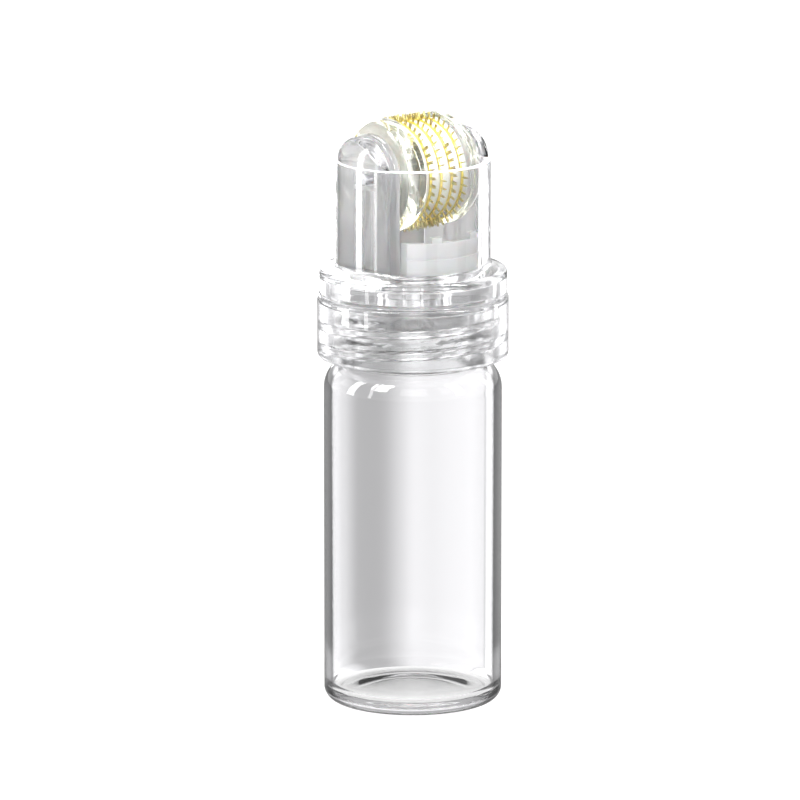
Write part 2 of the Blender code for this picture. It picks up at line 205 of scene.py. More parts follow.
def lathe_mesh(profile, segments, shift=None):
    """Spins a closed profile of (radius, height) about Z. shift(angle, point number) adds to a radius."""
    bm = bmesh.new()
    rows = []
    for n, (r, z) in enumerate(profile):
        if r <= 1e-6:
            rows.append([bm.verts.new((0, 0, z))] * segments)
            continue
        row = []
        for i in range(segments):
            angle = math.tau * i / segments
            reach = r + (shift(angle, n) if shift else 0.0)
            row.append(bm.verts.new((reach * math.cos(angle), reach * math.sin(angle), z)))
        rows.append(row)
    for one, two in zip(rows, rows[1:] + rows[:1]):
        for i in range(segments):
            k = (i + 1) % segments
            corners = list(dict.fromkeys((one[i], one[k], two[k], two[i])))
            if len(corners) > 2:
                bm.faces.new(corners)
    return bm


def lathe(name, profile, segments=ROUND, shift=None):
    return object_of(name, lathe_mesh(profile, segments, shift))


def lay_on_axle(bm):
    """Turns a shape about Z to lie about the drum's axle: what pointed up points along +X."""
    bmesh.ops.rotate(bm, verts=bm.verts, cent=(0, 0, 0), matrix=Matrix.Rotation(math.pi / 2, 3, "Y"))
    bmesh.ops.translate(bm, verts=bm.verts, vec=(0, 0, AXLE_Z))


def lathe_on_axle(name, profile, segments=DRUM_ROUND):
    """A lathe about the drum's axle: the profile's height runs along +X."""
    bm = lathe_mesh(profile, segments)
    lay_on_axle(bm)
    return object_of(name, bm)


def prism(name, outline, x_low, x_high, fillet=0.0):
    """An outline of (y, z) points made solid between two x places, with its end edges rounded."""
    bm = bmesh.new()
    face = bm.faces.new([bm.verts.new((x_low, y, z)) for y, z in outline])
    grown = bmesh.ops.extrude_face_region(bm, geom=[face])
    moved = [item for item in grown["geom"] if isinstance(item, bmesh.types.BMVert)]
    bmesh.ops.translate(bm, verts=moved, vec=(x_high - x_low, 0, 0))
    if fillet:
        ends = [e for e in bm.edges if abs(e.verts[0].co.x - e.verts[1].co.x) < 1e-6]
        bmesh.ops.bevel(bm, geom=ends, offset=fillet, segments=4, profile=0.5, affect="EDGES")
    return object_of(name, bm, smooth=0)


def tombstone(half_width, bottom_z, top_z, steps=40):
    """(y, z) points of a slab with a full-round top."""
    return [(-half_width, bottom_z), (half_width, bottom_z)] + arc(
        0.0, top_z - half_width, half_width, 0, 180, steps
    )


def block(name, low, high):
    """A box between two corners."""
    bm = bmesh.new()
    bmesh.ops.create_cube(bm, size=1.0)
    low, high = Vector(low), Vector(high)
    bmesh.ops.scale(bm, vec=high - low, verts=bm.verts)
    bmesh.ops.translate(bm, vec=(low + high) / 2, verts=bm.verts)
    return object_of(name, bm, smooth=0)


def combine(obj, operation, other):
    """Applies a Boolean to obj at once and deletes the other shape."""
    change = obj.modifiers.new("cut", "BOOLEAN")
    change.operation = operation
    change.solver = "EXACT"
    change.object = other
    graph = bpy.context.evaluated_depsgraph_get()
    made = bpy.data.meshes.new_from_object(obj.evaluated_get(graph))
    obj.modifiers.clear()
    old, obj.data = obj.data, made
    bpy.data.meshes.remove(old)
    bpy.data.objects.remove(other, do_unlink=True)
    return obj


def mirrored(obj, side):
    """Moves a shape made on +X to the side it is wanted on, +1 or -1."""
    obj.data.transform(Matrix.Scale(side, 4, (1, 0, 0)))
    if side < 0:
        obj.data.flip_normals()
    return obj


def shade(obj, angle=32):
    """Smooth shading, with edges sharper than the angle kept crisp."""
    obj.data.shade_smooth()
    obj.data.set_sharp_from_angle(angle=math.radians(angle))
    return obj


def pin_radius():
    low, high = span("axle_pin")
    return (high.y - low.y) / 2


def finish_piece(obj, stuff, body, *nodes):
    """Gives a piece its material and its body, and hides the CAD nodes that it stands for."""
    obj.data.materials.clear()
    obj.data.materials.append(stuff)
    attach(obj, body)
    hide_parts(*nodes)
    return obj


def extra_material(obj, stuff, wanted):
    """Gives one more material to the faces that wanted(face) picks."""
    obj.data.materials.append(stuff)
    for face in obj.data.polygons:
        if wanted(face):
            face.material_index = len(obj.data.materials) - 1


def span(node):
    """(lowest corner, highest corner) of a CAD node, in millimetres."""
    low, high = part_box(node)
    return Vector(low) / MM, Vector(high) / MM


def thread(angle, z, start_z, root_width, depth, turned_by=0.0):
    """Height of a right-hand thread's ridge at a place on its cylinder, faded out at both ends."""
    turn = (angle - turned_by) % math.tau / math.tau
    turn += round((z - start_z) / THREAD_PITCH - turn)
    if not 0.0 <= turn <= THREAD_TURNS:
        return 0.0
    away = abs(z - start_z - THREAD_PITCH * turn)
    side = (root_width / 2 - away) / ((root_width - THREAD_TIP_WIDTH) / 2)
    end = min(turn, THREAD_TURNS - turn) / THREAD_FADE
    height = max(0.0, min(1.0, side)) * min(1.0, end)
    return depth * height * height * (3 - 2 * height)


# ---------------------------------------------------------------- materials

def new_material(name):
    """(material, its node tree, its Principled shader)"""
    made = bpy.data.materials.new(name)
    made.use_nodes = True
    return made, made.node_tree, made.node_tree.nodes["Principled BSDF"]


def link(tree, source, out, target, into):
    tree.links.new(source.outputs[out], target.inputs[into])


def glow_material(name):
    """(material, its node tree, its Emission shader)"""
    made, tree, shader = new_material(name)
    tree.nodes.remove(shader)
    glow = tree.nodes.new("ShaderNodeEmission")
    link(tree, glow, "Emission", tree.nodes["Material Output"], "Surface")
    return made, tree, glow


def noise(tree, scale, detail=3.0, stretch=(1, 1, 1)):
    """Object-space noise, stretched along an axis by a small scale there."""
    where = tree.nodes.new("ShaderNodeTexCoord")
    place = tree.nodes.new("ShaderNodeMapping")
    place.inputs["Scale"].default_value = stretch
    grain = tree.nodes.new("ShaderNodeTexNoise")
    grain.inputs["Scale"].default_value = scale
    grain.inputs["Detail"].default_value = detail
    link(tree, where, "Object", place, "Vector")
    link(tree, place, "Vector", grain, "Vector")
    return grain


def ramp(tree, source, out, stops):
    """A colour ramp over (position, grey or colour) stops."""
    made = tree.nodes.new("ShaderNodeValToRGB")
    made.color_ramp.elements.remove(made.color_ramp.elements[-1])
    for n, (position, colour) in enumerate(stops):
        element = made.color_ramp.elements[0] if n == 0 else made.color_ramp.elements.new(position)
        element.position = position
        rgb = colour if isinstance(colour, tuple) else (colour,) * 3
        element.color = (*rgb, 1.0)
    link(tree, source, out, made, "Fac")
    return made


def waves(tree, shader, scale, height, stretch=(1, 1, 1)):
    """A very shallow waviness, as moulded or drawn clear pieces have."""
    bump = tree.nodes.new("ShaderNodeBump")
    bump.inputs["Strength"].default_value = 1.0
    bump.inputs["Distance"].default_value = height
    link(tree, noise(tree, scale, 2.0, stretch), "Fac", bump, "Height")
    link(tree, bump, "Normal", shader, "Normal")


def clear(name, ior, edge=None, wave=(60, 2e-5), stretch=(1, 1, 1), absorb=None, roughness=(0.0, 0.03)):
    """A clear glass or plastic. edge paints shade into it: a darker colour towards its outline, standing in
    for the dark rim that a thick clear wall shows.
    """
    made, tree, shader = new_material(name)
    shader.inputs["Transmission Weight"].default_value = 1.0
    shader.inputs["IOR"].default_value = ior
    shader.inputs["Base Color"].default_value = (1.0, 1.0, 1.0, 1.0)
    handling = ramp(tree, noise(tree, 180), "Fac", ((0.35, roughness[0]), (0.75, roughness[1])))
    link(tree, handling, "Color", shader, "Roughness")
    # Painted shade: the facing ramp darkens the colour towards the outline.
    if edge:
        facing = tree.nodes.new("ShaderNodeLayerWeight")
        facing.inputs["Blend"].default_value = 0.5
        link(tree, ramp(tree, facing, "Facing", edge), "Color", shader, "Base Color")
    if wave:
        waves(tree, shader, *wave, stretch)
    if absorb:
        density, colour = absorb
        volume = tree.nodes.new("ShaderNodeVolumeAbsorption")
        volume.inputs["Density"].default_value = density
        volume.inputs["Color"].default_value = (*colour, 1.0)
        link(tree, volume, "Volume", tree.nodes["Material Output"], "Volume")
    return made


def frosted(name, colour, transmission, coat=0.0):
    """Translucent moulded plastic with a fine matt texture."""
    made, tree, shader = new_material(name)
    shader.inputs["Transmission Weight"].default_value = transmission
    shader.inputs["IOR"].default_value = PLASTIC_IOR
    shader.inputs["Subsurface Weight"].default_value = 0.15
    shader.inputs["Coat Weight"].default_value = coat
    shader.inputs["Coat Roughness"].default_value = 0.05
    shader.inputs["Subsurface Scale"].default_value = 0.002
    dark = tuple(c * 0.94 for c in colour)
    cloud = ramp(tree, noise(tree, 300), "Fac", ((0.3, dark), (0.7, colour)))
    link(tree, cloud, "Color", shader, "Base Color")
    grain = ramp(tree, noise(tree, 2500, 4.0), "Fac", ((0.3, 0.32), (0.7, 0.5)))
    link(tree, grain, "Color", shader, "Roughness")
    waves(tree, shader, 2500, 1.5e-5)
    return made


def metal(name, dark, bright, roughness, stretch):
    """A plated or turned metal, with fine marks along one direction."""
    made, tree, shader = new_material(name)
    shader.inputs["Metallic"].default_value = 1.0
    tone = ramp(tree, noise(tree, 900, 4.0, stretch), "Fac", ((0.3, dark), (0.7, bright)))
    link(tree, tone, "Color", shader, "Base Color")
    marks = ramp(tree, noise(tree, 1500, 4.0, stretch), "Fac", ((0.3, roughness[0]), (0.7, roughness[1])))
    link(tree, marks, "Color", shader, "Roughness")
    waves(tree, shader, 1800, 3e-6, stretch)
    return made


# ---------------------------------------------------------------- pieces

def make_vial(outside, inside):
    low, high = span("glass_vial")
    outer_r, mouth_z = (high.x - low.x) / 2, high.z
    inner_r = outer_r - VIAL_WALL
    shoulder_r = outer_r - SHOULDER_ROUND
    shoulder_end = math.acos((NECK_R - shoulder_r) / SHOULDER_ROUND)
    neck_z = SHOULDER_Z + SHOULDER_ROUND * math.sin(shoulder_end)
    lip, foot_r, inner_foot, dish_r = 0.5, 8.2, 1.6, 4.5
    profile = [(0.0, VIAL_PUSH_UP), (dish_r / 2, VIAL_PUSH_UP * 0.94), (dish_r, VIAL_PUSH_UP * 0.75)]
    profile += [(foot_r - 0.6, 0.09), (foot_r, 0.0)]
    profile += arc(outer_r - VIAL_FOOT_ROUND, VIAL_FOOT_ROUND, VIAL_FOOT_ROUND, -90, 0, 12)
    profile += arc(shoulder_r, SHOULDER_Z, SHOULDER_ROUND, 0, math.degrees(shoulder_end), 20)
    first = len(profile)
    profile += straight((NECK_R, neck_z + 0.1), (NECK_R, mouth_z - lip - 0.1), 64)
    last = len(profile)
    profile += arc(NECK_R - lip, mouth_z - lip, lip, 0, 90, 6)
    wall_start = len(profile)
    profile += arc(NECK_BORE_R + lip, mouth_z - lip, lip, 90, 180, 6)
    profile += arc(NECK_BORE_R, SHOULDER_Z, inner_r - NECK_BORE_R, 90, 0, 16)
    profile += arc(inner_r - inner_foot, VIAL_FLOOR + inner_foot, inner_foot, 0, -90, 10)
    profile += [
        (dish_r, VIAL_FLOOR + VIAL_PUSH_UP * 0.75), (dish_r / 2, VIAL_FLOOR + VIAL_PUSH_UP * 0.94),
        (0.0, VIAL_FLOOR + VIAL_PUSH_UP),
    ]

    def ridge(angle, n):
        if not first <= n < last:
            return 0.0
        return thread(angle, profile[n][1], THREAD_START_Z, VIAL_THREAD_WIDTH, VIAL_THREAD_DEPTH)

    vial = lathe("vial_body", profile, shift=ridge)
    finish_piece(vial, outside, "vial", "glass_vial")
    extra_material(vial, inside, lambda face: face.index // ROUND >= wall_start)


def make_gasket(stuff):
    low, high = span("neck_gasket")
    outer = (high.x - low.x) / 2
    soft = 0.25
    ring = lathe("gasket_ring", rounded([
        (NECK_BORE_R, low.z, soft), (outer, low.z, soft), (outer, high.z, soft),
        (NECK_BORE_R, high.z, soft),
    ]))
    finish_piece(ring, stuff, "seal", "neck_gasket")


def make_collar(stuff, soft):
    low, high = span("screw_collar")
    outer, boss_top = (high.x - low.x) / 2, high.z
    land_r, land_z = 10.4, 56.8
    profile = rounded([
        (COLLAR_BORE_R, low.z, 0.3), (outer, low.z, 0.8), (outer, COLLAR_TOP_Z, 0.35),
        (BOSS_R, COLLAR_TOP_Z, 0.0), (BOSS_R, boss_top, 0.15), (STEM_HOLE_R, boss_top, 0.1),
        (STEM_HOLE_R, WEB_UNDERSIDE_Z, 0.1), (land_r, WEB_UNDERSIDE_Z, 0.1), (land_r, land_z, 0.1),
        (COLLAR_BORE_R, land_z, 0.1),
    ])
    first = len(profile)
    profile += straight((COLLAR_BORE_R, land_z - 0.3), (COLLAR_BORE_R, low.z + 0.4), 64)
    start_z = THREAD_START_Z - THREAD_DROP + THREAD_PITCH / 4

    def ridge(angle, n):
        if n < first:
            return 0.0
        z = profile[n][1]
        return -thread(angle, z, start_z, COLLAR_THREAD_WIDTH, COLLAR_THREAD_DEPTH, math.pi / 2)

    collar = lathe("collar_ring", profile, shift=ridge)
    finish_piece(collar, stuff, "head", "screw_collar")
    extra_material(collar, soft, lambda face: (
        math.hypot(face.center.x, face.center.y) / MM < COLLAR_BORE_R + 0.1 and face.center.z / MM < land_z
    ))


def make_plug(stuff):
    low, high = span("dosing_plug")
    plug_r, shoulder_z, stem_r = (high.x - low.x) / 2, WEB_UNDERSIDE_Z - 0.2, STEM_HOLE_R - 0.2
    plug = lathe("plug_body", rounded([
        (1.0, high.z, 0.1), (1.0, low.z + 1.6, 0.2), (2.4, low.z, 0.1), (plug_r, low.z, 0.6),
        (plug_r, shoulder_z, 0.2), (stem_r, shoulder_z, 0.2), (stem_r, high.z, 0.15),
    ]))
    finish_piece(plug, stuff, "head", "dosing_plug")


def make_housing(stuff, textured, bright):
    low, high = span("head_housing")
    outer, floor_z, skirt_r = (high.x - low.x) / 2, span("screw_collar")[1].z + 0.1, BOSS_R + 0.2
    housing = lathe("head_cup", rounded([
        (skirt_r, floor_z, 0.1), (skirt_r, low.z, 0.1), (outer, low.z, 0.3),
        (outer, FLANGE_TOP_Z, 0.8), (CUP_R, FLANGE_TOP_Z + 0.7, 0.6), (CUP_R, RIM_Z, 0.35),
        (CUP_BORE_R, RIM_Z, 0.35), (CUP_BORE_R, floor_z, 0.0),
    ], 8))
    for side in (-1, 1):
        post = prism("post", tombstone(POST_HALF_WIDTH, floor_z + 0.05, high.z), POST_INNER_X, CUP_R + 2, 0.5)
        mirrored(post, side)
        dome_r, sunk_r = CUP_R - POST_STEP, (CUP_R + CUP_BORE_R) / 2
        dome = [(0.0, floor_z - 1), (sunk_r, floor_z - 1), (sunk_r, RIM_Z - 1.0), (dome_r, RIM_Z - 1.0)]
        dome += arc(dome_r - DOME_WIDTH, high.z - DOME_HEIGHT, DOME_WIDTH, 0, 90, 24, DOME_HEIGHT)
        dome += [(0.0, high.z + 0.02)]
        combine(post, "INTERSECT", lathe("dome", dome))
        combine(housing, "UNION", post)
    finish_piece(shade(housing), stuff, "head", "head_housing")
    extra_material(housing, textured, lambda face: (
        face.normal.z > 0.6 and abs(face.center.z / MM - RIM_Z + 0.1) < 0.5
    ))
    # Painted light: the tops of the posts take the lit, lighter copy of the plastic.
    extra_material(housing, bright, lambda face: face.center.z / MM > RIM_Z + 0.5)


def make_fork(stuff, textured):
    low, high = span("drum_fork")
    base_r, edge = (high.y - low.y) / 2, (high.x - low.x) / 2
    fork = lathe("fork_base", rounded([
        (STEM_HOLE_R, low.z, 0.1), (base_r, low.z, 0.2), (base_r, FORK_BASE_TOP_Z, 0.2),
        (STEM_HOLE_R, FORK_BASE_TOP_Z, 0.1),
    ]))
    combine(fork, "INTERSECT", block("edges", (-edge, -20, low.z - 1), (edge, 20, high.z)))
    pin_x = edge - 0.05
    for side in (-1, 1):
        leg = prism("leg", tombstone(LEG_HALF_WIDTH, low.z + 0.2, high.z), LEG_INNER_X, pin_x, 0.35)
        mirrored(leg, side)
        leg_r = base_r - 0.05
        combine(leg, "INTERSECT", lathe("leg_round", [
            (0, low.z - 1), (leg_r, low.z - 1), (leg_r, high.z + 1), (0, high.z + 1),
        ]))
        combine(fork, "UNION", leg)
        cut_pockets(fork, side, pin_x)
    pin_r = pin_radius() + PIN_GAP
    combine(fork, "DIFFERENCE", lathe_on_axle("bore", [(0, -20), (pin_r, -20), (pin_r, 20), (0, 20)], 96))
    fork.name = "fork_legs"
    finish_piece(shade(fork), stuff, "head", "drum_fork")
    extra_material(fork, textured, lambda face: (
        abs(face.normal.x) > 0.9 and abs(abs(face.center.x) / MM - LEG_INNER_X) < 0.1
    ))


def cut_pockets(fork, side, face_x):
    """Two columns of shallow pockets in a leg: a square by the pin and a long slot below it."""
    rib_z = AXLE_Z - 1.6
    spans = ((FORK_BASE_TOP_Z + POCKET_RIB, rib_z), (rib_z + POCKET_RIB, AXLE_Z + 1.0))
    xs = sorted((side * (face_x - POCKET_DEPTH), side * (face_x + 2)))
    for y_low, y_high in POCKET_SIDES:
        for z_low, z_high in spans:
            pocket = block("pocket", (xs[0], y_low, z_low), (xs[1], y_high, z_high))
            combine(fork, "DIFFERENCE", pocket)


def make_insert(stuff):
    low, high = span("flow_insert")
    outer, reach = (high.y - low.y) / 2, (high.x - low.x) / 2
    inner, feed_r, groove_z, groove = outer - INSERT_WALL, 1.2, 64.7, 0.15
    insert = lathe("insert_body", rounded([
        (feed_r, low.z, 0.1), (outer, low.z, 0.15), (outer, groove_z - groove, 0.04),
        (outer - groove, groove_z - groove, 0.04), (outer - groove, groove_z + groove, 0.04),
        (outer, groove_z + groove, 0.04), (outer, INSERT_TOP_Z, 0.15), (inner, INSERT_TOP_Z, 0.15),
        (inner, INSERT_FLOOR_Z, 0.3), (feed_r, INSERT_FLOOR_Z, 0.1),
    ], 4))
    combine(insert, "INTERSECT", block("width", (-reach, -20, 50), (reach, 20, 90)))
    middle_x = (outer - INSERT_WALL / 2) * math.sin(math.radians(TOOTH_ANGLE))
    foot = INSERT_TOP_Z - 0.4
    for x in (-middle_x, middle_x):
        ring = lathe("tooth", rounded([
            (inner + 0.05, foot, 0.0), (outer - 0.05, foot, 0.0), (outer - 0.05, high.z, 0.15),
            (inner + 0.05, high.z, 0.15),
        ]))
        half = TOOTH_WIDTH / 2
        combine(ring, "INTERSECT", block("tooth_width", (x - half, -20, foot - 1), (x + half, 20, 90)))
        combine(insert, "UNION", ring)
    finish_piece(shade(insert), stuff, "head", "flow_insert")


def make_pin(stuff):
    low, high = span("axle_pin")
    pin_r, chamfer = pin_radius(), 0.15
    pin = lathe_on_axle("pin", rounded([
        (0.0, low.x, 0.0), (pin_r, low.x, chamfer), (pin_r, high.x, chamfer), (0.0, high.x, 0.0),
    ]), 96)
    finish_piece(pin, stuff, "head", "axle_pin")


def make_core(stuff):
    low, high = span("drum_core")
    bore_r = pin_radius() + 2 * PIN_GAP
    core = lathe_on_axle("core_tube", rounded([
        (bore_r, low.x, 0.1), (CORE_R, low.x, 0.15), (CORE_R, high.x, 0.15), (bore_r, high.x, 0.1),
    ]))
    finish_piece(core, stuff, "drum", "drum_core")


def make_flange(node, side, stuff):
    """Thick rounded end of the drum, with a shallow dish round a low boss in its outer face."""
    low, high = span(node)
    inner_x, boss_x = (low.x, high.x) if side > 0 else (-high.x, -low.x)
    outer_r, face_x = (high.y - low.y) / 2, boss_x - 0.3
    bore_r, core_end = 0.9, span("drum_core")[1].x + 0.02
    dish = 0.35
    profile = rounded([
        (CORE_R + 0.02, inner_x, 0.0), (outer_r, inner_x, 0.2), (outer_r, face_x, DRUM_FLANGE_ROUND),
        (5.4, face_x, 0.15), (5.1, face_x - dish, 0.15), (2.9, face_x - dish, 0.15), (2.5, boss_x, 0.15),
        (bore_r, boss_x, 0.1), (bore_r, core_end, 0.0), (CORE_R + 0.02, core_end, 0.0),
    ], 8)
    flange = lathe_on_axle(node + "_round", profile if side > 0 else [(r, -x) for r, x in reversed(profile)])
    finish_piece(flange, stuff, "drum", node)


def needle_places(bm, steps, number):
    """The rim faces of a disc that needles grow from. Every other disc is turned half a pitch."""
    rim = []
    phase = (number % 2) * NEEDLE_FACETS / 2
    for face in bm.faces:
        middle = face.calc_center_median()
        if Vector((middle.x, middle.y)).length < DISC_R * 0.995 or abs(face.normal.z) > 0.1:
            continue
        place = round(math.atan2(middle.y, middle.x) / math.tau * steps - 0.5 - phase) % steps
        if place % NEEDLE_FACETS == 0:
            rim.append(face)
    return rim


def grow_needles(bm, rim, tip_r):
    """Draws each rim face out to a tapered shaft and a point."""
    bmesh.ops.inset_individual(bm, faces=rim, thickness=NEEDLE_INSET)
    shafts = bmesh.ops.extrude_discrete_faces(bm, faces=rim)["faces"]
    for face in shafts:
        middle = face.calc_center_median()
        grow = Vector((middle.x, middle.y)).normalized() * (tip_r - DISC_R) * NEEDLE_SHAFT
        for vert in face.verts:
            vert.co += Vector((grow.x, grow.y, 0)) + (middle - vert.co) * NEEDLE_TAPER
    for tip in bmesh.ops.poke(bm, faces=shafts)["verts"]:
        flat = Vector((tip.co.x, tip.co.y)).normalized() * tip_r
        tip.co = (flat.x, flat.y, tip.co.z)


def make_disc(node, number, stuff, needle_stuff):
    """A thin gold ring with slim four-sided needles that rise from its rim."""
    low, high = span(node)
    tip_r, edge = (high.y - low.y) / 2, 0.05
    steps = NEEDLES * NEEDLE_FACETS
    bm = lathe_mesh(rounded([
        (CORE_R + 0.02, low.x, 0.0), (DISC_R, low.x, edge), (DISC_R, high.x, edge),
        (CORE_R + 0.02, high.x, 0.0),
    ], 2), steps)
    grow_needles(bm, needle_places(bm, steps, number), tip_r)
    lay_on_axle(bm)
    disc = object_of(f"gold_disc_{number}", bm, 30)
    finish_piece(disc, stuff, "drum", node)
    extra_material(disc, needle_stuff, lambda face: (
        math.hypot(face.center.y, face.center.z - AXLE_Z * MM) > (DISC_R + 0.1) * MM
    ))


def make_spacer(node, number, stuff):
    low, high = span(node)
    outer = (high.y - low.y) / 2
    ring = lathe_on_axle(f"clear_spacer_{number}", rounded([
        (CORE_R + 0.02, low.x, 0.0), (outer, low.x, 0.08), (outer, high.x, 0.08),
        (CORE_R + 0.02, high.x, 0.0),
    ], 3))
    finish_piece(ring, stuff, "drum", node)


def make_drum(tinted, milky, gold, needle):
    make_core(tinted)
    make_flange("left_flange", -1, tinted)
    make_flange("right_flange", 1, tinted)
    for node in sorted(frame["nodes"]):
        number = node.rsplit("_", 1)[-1]
        if node.startswith("needle_disc"):
            make_disc(node, int(number), gold, needle)
        elif node.startswith("spacer_ring"):
            make_spacer(node, int(number), milky)


def make_roller():
    # The edge ramps below paint shade towards the outline of each clear piece.
    glass = clear("vial_glass", GLASS_IOR, edge=((0.0, 0.985), (0.55, 0.97), (0.60, 0.24), (1.0, 0.20)),
                  wave=(45, 1.5e-5), stretch=(1, 1, 0.25), roughness=(0.0, 0.01))
    glass_inside = clear("vial_glass_inside", GLASS_IOR, wave=(45, 1.5e-5), stretch=(1, 1, 0.25),
                         roughness=(0.0, 0.01))
    plastic = clear("clear_plastic", PLASTIC_IOR, edge=((0.0, 0.99), (0.6, 0.96), (0.9, 0.5)),
                    wave=(90, 1e-5), absorb=(12.0, (0.6, 0.62, 0.62)))
    textured = frosted("clear_plastic_textured", (0.97, 0.97, 0.97), 0.55)
    tinted = clear("tinted_plastic", PLASTIC_IOR, edge=((0.0, 0.98), (0.6, 0.92), (0.9, 0.6)),
                   wave=(120, 3e-5), absorb=(35.0, (0.85, 0.88, 0.6)))
    milky = frosted("tinted_plastic_milky", (0.99, 0.99, 0.93), 0.35, coat=0.8)
    white = frosted("frosted_plastic", (0.95, 0.95, 0.95), 0.3)
    soft = clear("clear_plastic_soft", PLASTIC_IOR, roughness=(0.15, 0.25))
    # A lit copy of the clear plastic for the tops of the posts: less painted edge shade and no absorption, so
    # the tops read lighter.
    bright = clear("clear_plastic_bright", PLASTIC_IOR, edge=((0.0, 0.99), (1.0, 0.95)))
    hazy = clear("frosted_plastic_hazy", PLASTIC_IOR, roughness=(0.12, 0.22))
    rubber = frosted("silicone", (0.86, 0.86, 0.87), 0.5)
    gold = metal("gold_plate", (0.78, 0.62, 0.12), (0.95, 0.8, 0.27), (0.15, 0.32), (1, 1, 0.3))
    needle = metal("gold_needle", (0.45, 0.38, 0.14), (0.7, 0.6, 0.26), (0.2, 0.35), (1, 1, 0.3))
    steel = metal("steel", (0.5, 0.5, 0.52), (0.75, 0.75, 0.76), (0.12, 0.3), (0.05, 1, 1))
    make_vial(glass, glass_inside)
    make_gasket(rubber)
    make_collar(plastic, soft)
    make_plug(hazy)
    make_housing(plastic, textured, bright)
    make_fork(plastic, textured)
    make_insert(white)
    make_pin(steel)
    make_drum(tinted, milky, gold, needle)


# ---------------------------------------------------------------- studio

def direction(azimuth, elevation):
    """Unit vector from the object towards a camera or a light."""
    a, e = math.radians(azimuth), math.radians(elevation)
    return Vector((math.sin(a) * math.cos(e), -math.cos(a) * math.cos(e), math.sin(e)))


def make_camera():
    camera = bpy.data.objects.new("camera", bpy.data.cameras.new("camera"))
    bpy.context.scene.collection.objects.link(camera)
    bpy.context.scene.camera = camera
    camera.data.lens = LENS
    camera.data.sensor_width = 36.0
    back = direction(VIEW_AZIMUTH, VIEW_ELEVATION)
    a = math.radians(VIEW_AZIMUTH)
    right = Vector((math.cos(a), math.sin(a), 0.0))
    aim = Vector((0, 0, AIM_HEIGHT)) - right * AIM_LEFT
    camera.location = aim + back * VIEW_DISTANCE
    camera.rotation_mode = "QUATERNION"
    camera.rotation_quaternion = (-back).to_track_quat("-Z", "Y")
    camera.data.clip_start, camera.data.clip_end = 0.01, 50.0


def strength_by_path(tree, strength, outer, inner):
    """Full strength straight on or through, and less for reflections: off the outside, or inside the object.
    This keeps dark outlines on the clear pieces, as black cards beside them do in a photo studio."""
    path = tree.nodes.new("ShaderNodeLightPath")
    after = tree.nodes.new("ShaderNodeMix")
    after.inputs["A"].default_value = outer
    if isinstance(inner, float):
        after.inputs["B"].default_value = inner
    else:
        tree.links.new(inner, after.inputs["B"])
    final = tree.nodes.new("ShaderNodeMix")
    final.inputs["A"].default_value = 1.0
    for depth, mixer in (("Transmission Depth", after), ("Glossy Depth", final)):
        above = tree.nodes.new("ShaderNodeMath")
        above.operation = "GREATER_THAN"
        above.inputs[1].default_value = 0.5
        tree.links.new(path.outputs[depth], above.inputs[0])
        tree.links.new(above.outputs[0], mixer.inputs["Factor"])
    tree.links.new(after.outputs["Result"], final.inputs["B"])
    tree.links.new(final.outputs["Result"], strength)


def make_floor():
    """A plain white floor that stays bright under the clear object."""
    bm = bmesh.new()
    bmesh.ops.create_circle(bm, cap_ends=True, segments=128, radius=FLOOR_R)
    floor = object_of("floor", bm, smooth=0)
    floor.location.z = -FLOOR_DROP * MM
    made, tree, shader = new_material("floor_white")
    shader.inputs["Base Color"].default_value = (0.12, 0.12, 0.12, 1.0)
    shader.inputs["Roughness"].default_value = 0.9
    shader.inputs["Specular IOR Level"].default_value = 0.0
    shader.inputs["Emission Color"].default_value = (1.0, 1.0, 1.0, 1.0)
    strength_by_path(tree, shader.inputs["Emission Strength"], FLOOR_OUTER, FLOOR_INNER)
    floor.data.materials.append(made)


def hide_from(obj, *rays):
    for kind in rays:
        setattr(obj, f"visible_{kind}", False)


def tent_place(degrees):
    """Angle within its sector of the tent, whose pattern repeats."""
    return (degrees - TENT_BAND_AZIMUTH + TENT_SECTOR / 2) % TENT_SECTOR - TENT_SECTOR / 2


def fade(level, away):
    """Goes smoothly from a level at 0 to 1 at 1 and beyond."""
    part = max(0.0, min(1.0, away))
    return level + (1.0 - level) * part * part * (3 - 2 * part)


def tent_brightness(place):
    """Brightness at an angle within the sector."""
    white = TENT_WHITE + TENT_RISE * max(0.0, TENT_RISE_FROM - place)
    white += TENT_END_RISE * max(0.0, abs(place) - TENT_END_FROM)
    off_band = max((BAND_START - place) / BAND_FADE_IN, (place - BAND_END) / BAND_FADE_OUT)
    off_line = abs(place - LINE_PLACE) / LINE_HALF
    return white * fade(BAND_LEVEL, off_band) * fade(LINE_LEVEL, off_line)


def make_tent():
    """A bright ring close round the object, seen only through its clear pieces."""
    bm = bmesh.new()
    bright = bm.verts.layers.float_color.new("brightness")
    bounced = bm.verts.layers.float.new("after_bounce")
    rows = []
    for radius, z, through, plain, dark in TENT_ROWS:
        row = []
        for i in range(TENT_SEGMENTS):
            degrees = 360 * i / TENT_SEGMENTS
            place, angle = tent_place(degrees), math.radians(degrees)
            vert = bm.verts.new((radius * math.cos(angle), radius * math.sin(angle), z))
            level = tent_brightness(place) * through
            vert[bright] = (level * 0.985, level * 0.98, level, 1.0)
            nearest = min(abs(place - band) for band in TENT_DARK_BANDS)
            vert[bounced] = dark if nearest < TENT_DARK_HALF else plain
            row.append(vert)
        rows.append(row)
    for below, above in zip(rows, rows[1:]):
        for i in range(TENT_SEGMENTS):
            k = (i + 1) % TENT_SEGMENTS
            bm.faces.new((below[i], below[k], above[k], above[i]))
    tent = object_of("light_tent", bm, smooth=0)
    made, tree, glow = glow_material("tent_glow")
    level = tree.nodes.new("ShaderNodeAttribute")
    level.attribute_name = "brightness"
    after = tree.nodes.new("ShaderNodeAttribute")
    after.attribute_name = "after_bounce"
    link(tree, level, "Color", glow, "Color")
    strength_by_path(tree, glow.inputs["Strength"], TENT_OUTER, after.outputs["Fac"])
    tent.data.materials.append(made)
    hide_from(tent, "camera", "glossy", "diffuse", "shadow")


